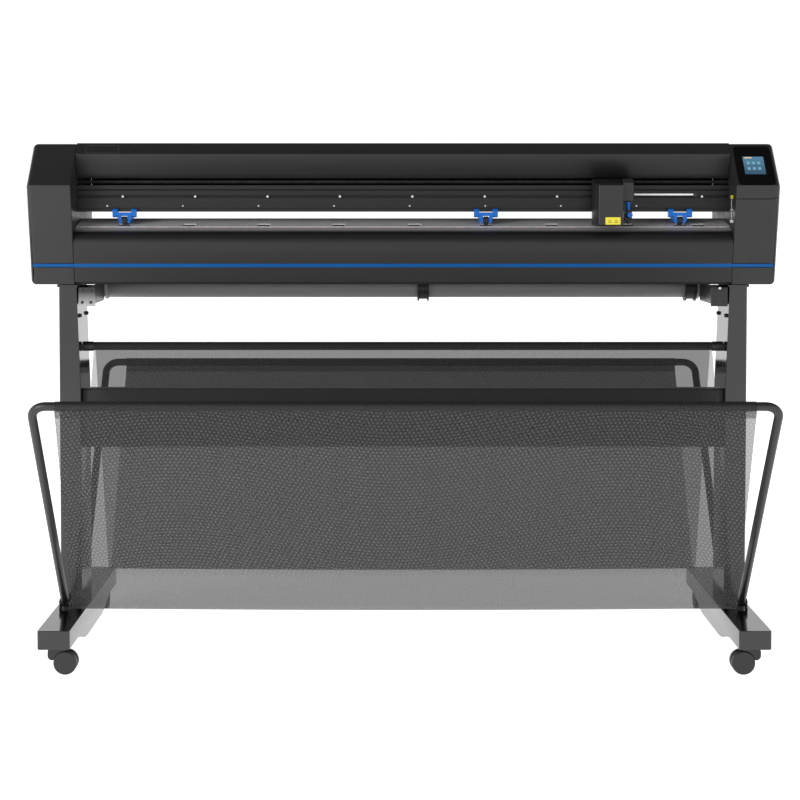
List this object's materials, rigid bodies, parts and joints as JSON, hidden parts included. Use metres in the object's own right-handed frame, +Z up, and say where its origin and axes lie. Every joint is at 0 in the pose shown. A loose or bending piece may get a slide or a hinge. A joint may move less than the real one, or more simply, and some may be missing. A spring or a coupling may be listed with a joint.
{
  "type": "printer cutter",
  "caption": "Roll-fed vinyl cutter on a castered stand: rail-borne drag-knife carriage, lifting pinch rollers, sloping platen, tilting-hoop mesh basket and media roll support.",
  "frame": {"origin": "on the floor, under the middle of the machine", "axes": "+X along the machine towards the control panel, +Y from the operator to the back, +Z up"},
  "size_m": [1.65, 1.0396, 1.12],
  "materials": {
    "housing_plastic": "fine textured",
    "carriage_plastic": "satin",
    "display_glass": "polished",
    "display_screen": "polished",
    "accent_blue": "satin",
    "pinch_blue": "satin",
    "clamp_blue": "satin",
    "knife_blue": "satin",
    "chassis_steel": "satin",
    "side_plate_paint": "satin",
    "platen_aluminium": "brushed",
    "cutting_strip": "matt",
    "rail_black": "black anodised",
    "screw_steel": "bright",
    "ribbon": "satin",
    "drum_steel": "gritted",
    "motor_black": "satin",
    "belt_rubber": "matt",
    "pulley_aluminium": "turned",
    "carriage_metal": "satin",
    "pinch_rubber": "matt",
    "board_green": "satin",
    "supply_steel": "satin",
    "switch_black": "gloss",
    "stand_paint": "powder coat",
    "bar_black": "satin",
    "bracket_steel": "satin",
    "roller_aluminium": "satin",
    "flange_plastic": "satin",
    "basket_mesh": "open mesh",
    "caster_plastic": "satin",
    "caster_wheel": "satin"
  },
  "bodies": {
    "frame": {"left_end_cover": "housing_plastic", "right_end_cover": "housing_plastic", "control_panel_cover": "housing_plastic", "top_cover": "housing_plastic", "front_cover": "housing_plastic", "rear_cover": "housing_plastic", "display_glass": "display_glass", "display_screen": "display_screen", "accent_stripe": "accent_blue", "chassis": "chassis_steel", "side_plates": "side_plate_paint", "platen": "platen_aluminium", "cutting_strip": "cutting_strip", "carriage_rail": "rail_black", "rail_screws": "screw_steel", "ribbon_cable": "ribbon", "drive_motors": "motor_black", "carriage_belt": "belt_rubber", "main_board": "board_green", "power_supply": "supply_steel", "legs": "stand_paint", "feet": "stand_paint", "crossbeam": "stand_paint", "cloth_bar": "bar_black", "roller_brackets": "bracket_steel", "front_cloth": "basket_mesh", "rear_cloth": "basket_mesh"},
    "carriage": {"carriage_frame": "carriage_metal", "carriage_cover": "carriage_plastic"},
    "tool": {"tool_holder": "carriage_metal", "knife": "knife_blue"},
    "clamp_screw": {"clamp_knob": "clamp_blue"},
    "drive_drum": {"drive_drum": "drum_steel"},
    "belt_drive_pulley": {"belt_drive_pulley": "pulley_aluminium"},
    "belt_idler_pulley": {"belt_idler_pulley": "pulley_aluminium"},
    "left_pinch_slider": {"left_pinch_slider": "pinch_blue"},
    "left_pinch_arm": {"left_pinch_arm": "pinch_blue"},
    "left_pinch_wheel": {"left_pinch_wheel": "pinch_rubber"},
    "middle_pinch_slider": {"middle_pinch_slider": "pinch_blue"},
    "middle_pinch_arm": {"middle_pinch_arm": "pinch_blue"},
    "middle_pinch_wheel": {"middle_pinch_wheel": "pinch_rubber"},
    "right_pinch_slider": {"right_pinch_slider": "pinch_blue"},
    "right_pinch_arm": {"right_pinch_arm": "pinch_blue"},
    "right_pinch_wheel": {"right_pinch_wheel": "pinch_rubber"},
    "lift_lever": {"pinch_lift_lever": "drum_steel"},
    "power_switch": {"power_switch": "switch_black"},
    "front_hoop": {"front_hoop": "stand_paint"},
    "rear_hoop": {"rear_hoop": "stand_paint"},
    "front_left_caster": {"front_left_caster_hood": "caster_plastic"},
    "front_left_wheels": {"front_left_caster_wheels": "caster_wheel"},
    "front_right_caster": {"front_right_caster_hood": "caster_plastic"},
    "front_right_wheels": {"front_right_caster_wheels": "caster_wheel"},
    "rear_left_caster": {"rear_left_caster_hood": "caster_plastic"},
    "rear_left_wheels": {"rear_left_caster_wheels": "caster_wheel"},
    "rear_right_caster": {"rear_right_caster_hood": "caster_plastic"},
    "rear_right_wheels": {"rear_right_caster_wheels": "caster_wheel"},
    "front_media_roller": {"front_media_roller": "roller_aluminium"},
    "rear_media_roller": {"rear_media_roller": "roller_aluminium"},
    "left_media_flange": {"left_media_flange": "flange_plastic"},
    "right_media_flange": {"right_media_flange": "flange_plastic"}
  },
  "joints": [
    {"name": "carriage_slide", "type": "slide", "parent": "frame", "child": "carriage", "axis": [1, 0, 0], "range_m": [-1.115, 0]},
    {"name": "tool_drop", "type": "slide", "parent": "carriage", "child": "tool", "axis": [0, 0, -1], "range_m": [0, 0.0035], "stiffness_N_per_m": 300, "springref_m": -0.006},
    {"name": "clamp_turn", "type": "hinge", "parent": "tool", "child": "clamp_screw", "pos_m": [0.501, -0.05, 0.96], "axis": [0, -1, 0], "range_deg": [0, 360]},
    {"name": "drum_spin", "type": "hinge", "parent": "frame", "child": "drive_drum", "pos_m": [0, -0.016, 0.9272], "axis": [1, 0, 0], "continuous": true},
    {"name": "drive_pulley_spin", "type": "hinge", "parent": "frame", "child": "belt_drive_pulley", "pos_m": [0.747, 0.018, 1.034], "axis": [0, 0, 1], "range_deg": [-5700, 60]},
    {"name": "idler_pulley_spin", "type": "hinge", "parent": "frame", "child": "belt_idler_pulley", "pos_m": [-0.747, 0.018, 1.034], "axis": [0, 0, 1], "range_deg": [-5700, 60]},
    {"name": "left_pinch_slide", "type": "slide", "parent": "frame", "child": "left_pinch_slider", "axis": [1, 0, 0], "range_m": [-0.06, 0.38]},
    {"name": "left_pinch_lift", "type": "hinge", "parent": "left_pinch_slider", "child": "left_pinch_arm", "pos_m": [-0.621, 0.012, 0.951], "axis": [-1, 0, 0], "range_deg": [0, 6]},
    {"name": "left_pinch_spin", "type": "hinge", "parent": "left_pinch_arm", "child": "left_pinch_wheel", "pos_m": [-0.621, -0.016, 0.9475], "axis": [1, 0, 0], "continuous": true},
    {"name": "middle_pinch_slide", "type": "slide", "parent": "frame", "child": "middle_pinch_slider", "axis": [1, 0, 0], "range_m": [-0.32, 0.16]},
    {"name": "middle_pinch_lift", "type": "hinge", "parent": "middle_pinch_slider", "child": "middle_pinch_arm", "pos_m": [0.185, 0.012, 0.951], "axis": [-1, 0, 0], "range_deg": [0, 6]},
    {"name": "middle_pinch_spin", "type": "hinge", "parent": "middle_pinch_arm", "child": "middle_pinch_wheel", "pos_m": [0.185, -0.016, 0.9475], "axis": [1, 0, 0], "continuous": true},
    {"name": "right_pinch_slide", "type": "slide", "parent": "frame", "child": "right_pinch_slider", "axis": [1, 0, 0], "range_m": [-0.08, 0.06]},
    {"name": "right_pinch_lift", "type": "hinge", "parent": "right_pinch_slider", "child": "right_pinch_arm", "pos_m": [0.618, 0.012, 0.951], "axis": [-1, 0, 0], "range_deg": [0, 6]},
    {"name": "right_pinch_spin", "type": "hinge", "parent": "right_pinch_arm", "child": "right_pinch_wheel", "pos_m": [0.618, -0.016, 0.9475], "axis": [1, 0, 0], "continuous": true},
    {"name": "lift_lever_turn", "type": "hinge", "parent": "frame", "child": "lift_lever", "pos_m": [0, 0.078, 0.985], "axis": [1, 0, 0], "range_deg": [0, 60]},
    {"name": "switch_rock", "type": "hinge", "parent": "frame", "child": "power_switch", "pos_m": [0.649, 0.192, 0.857], "axis": [1, 0, 0], "range_deg": [0, 10]},
    {"name": "front_hoop_fold", "type": "hinge", "parent": "frame", "child": "front_hoop", "pos_m": [0, -0.127, 0.112], "axis": [-1, 0, 0], "range_deg": [0, 34], "deforming": ["front_cloth"]},
    {"name": "rear_hoop_fold", "type": "hinge", "parent": "frame", "child": "rear_hoop", "pos_m": [0, 0.127, 0.112], "axis": [1, 0, 0], "range_deg": [0, 34], "deforming": ["rear_cloth"]},
    {"name": "front_left_swivel", "type": "hinge", "parent": "frame", "child": "front_left_caster", "pos_m": [-0.73, -0.3, 0.058], "axis": [0, 0, 1], "continuous": true},
    {"name": "front_left_roll", "type": "hinge", "parent": "front_left_caster", "child": "front_left_wheels", "pos_m": [-0.71, -0.3, 0.0245], "axis": [0, 1, 0], "continuous": true},
    {"name": "front_right_swivel", "type": "hinge", "parent": "frame", "child": "front_right_caster", "pos_m": [0.73, -0.3, 0.058], "axis": [0, 0, 1], "continuous": true},
    {"name": "front_right_roll", "type": "hinge", "parent": "front_right_caster", "child": "front_right_wheels", "pos_m": [0.71, -0.3, 0.0245], "axis": [0, 1, 0], "continuous": true},
    {"name": "rear_left_swivel", "type": "hinge", "parent": "frame", "child": "rear_left_caster", "pos_m": [-0.73, 0.3, 0.058], "axis": [0, 0, 1], "continuous": true},
    {"name": "rear_left_roll", "type": "hinge", "parent": "rear_left_caster", "child": "rear_left_wheels", "pos_m": [-0.73, 0.32, 0.0245], "axis": [1, 0, 0], "continuous": true},
    {"name": "rear_right_swivel", "type": "hinge", "parent": "frame", "child": "rear_right_caster", "pos_m": [0.73, 0.3, 0.058], "axis": [0, 0, 1], "continuous": true},
    {"name": "rear_right_roll", "type": "hinge", "parent": "rear_right_caster", "child": "rear_right_wheels", "pos_m": [0.73, 0.32, 0.0245], "axis": [1, 0, 0], "continuous": true},
    {"name": "front_roller_spin", "type": "hinge", "parent": "frame", "child": "front_media_roller", "pos_m": [0, 0.235, 0.7862], "axis": [1, 0, 0], "continuous": true},
    {"name": "rear_roller_spin", "type": "hinge", "parent": "frame", "child": "rear_media_roller", "pos_m": [0, 0.335, 0.7862], "axis": [1, 0, 0], "continuous": true},
    {"name": "left_flange_slide", "type": "slide", "parent": "front_media_roller", "child": "left_media_flange", "axis": [1, 0, 0], "range_m": [-0.7, 0.28]},
    {"name": "right_flange_slide", "type": "slide", "parent": "front_media_roller", "child": "right_media_flange", "axis": [1, 0, 0], "range_m": [-0.3, 0]}
  ],
  "couplings": [
    {"joint": "drive_pulley_spin", "follows": "carriage_slide", "rad_per_m": 87.72},
    {"joint": "idler_pulley_spin", "follows": "carriage_slide", "rad_per_m": 87.72},
    {"joint": "left_pinch_lift", "follows": "lift_lever_turn", "ratio": 0.1},
    {"joint": "middle_pinch_lift", "follows": "lift_lever_turn", "ratio": 0.1},
    {"joint": "right_pinch_lift", "follows": "lift_lever_turn", "ratio": 0.1}
  ]
}
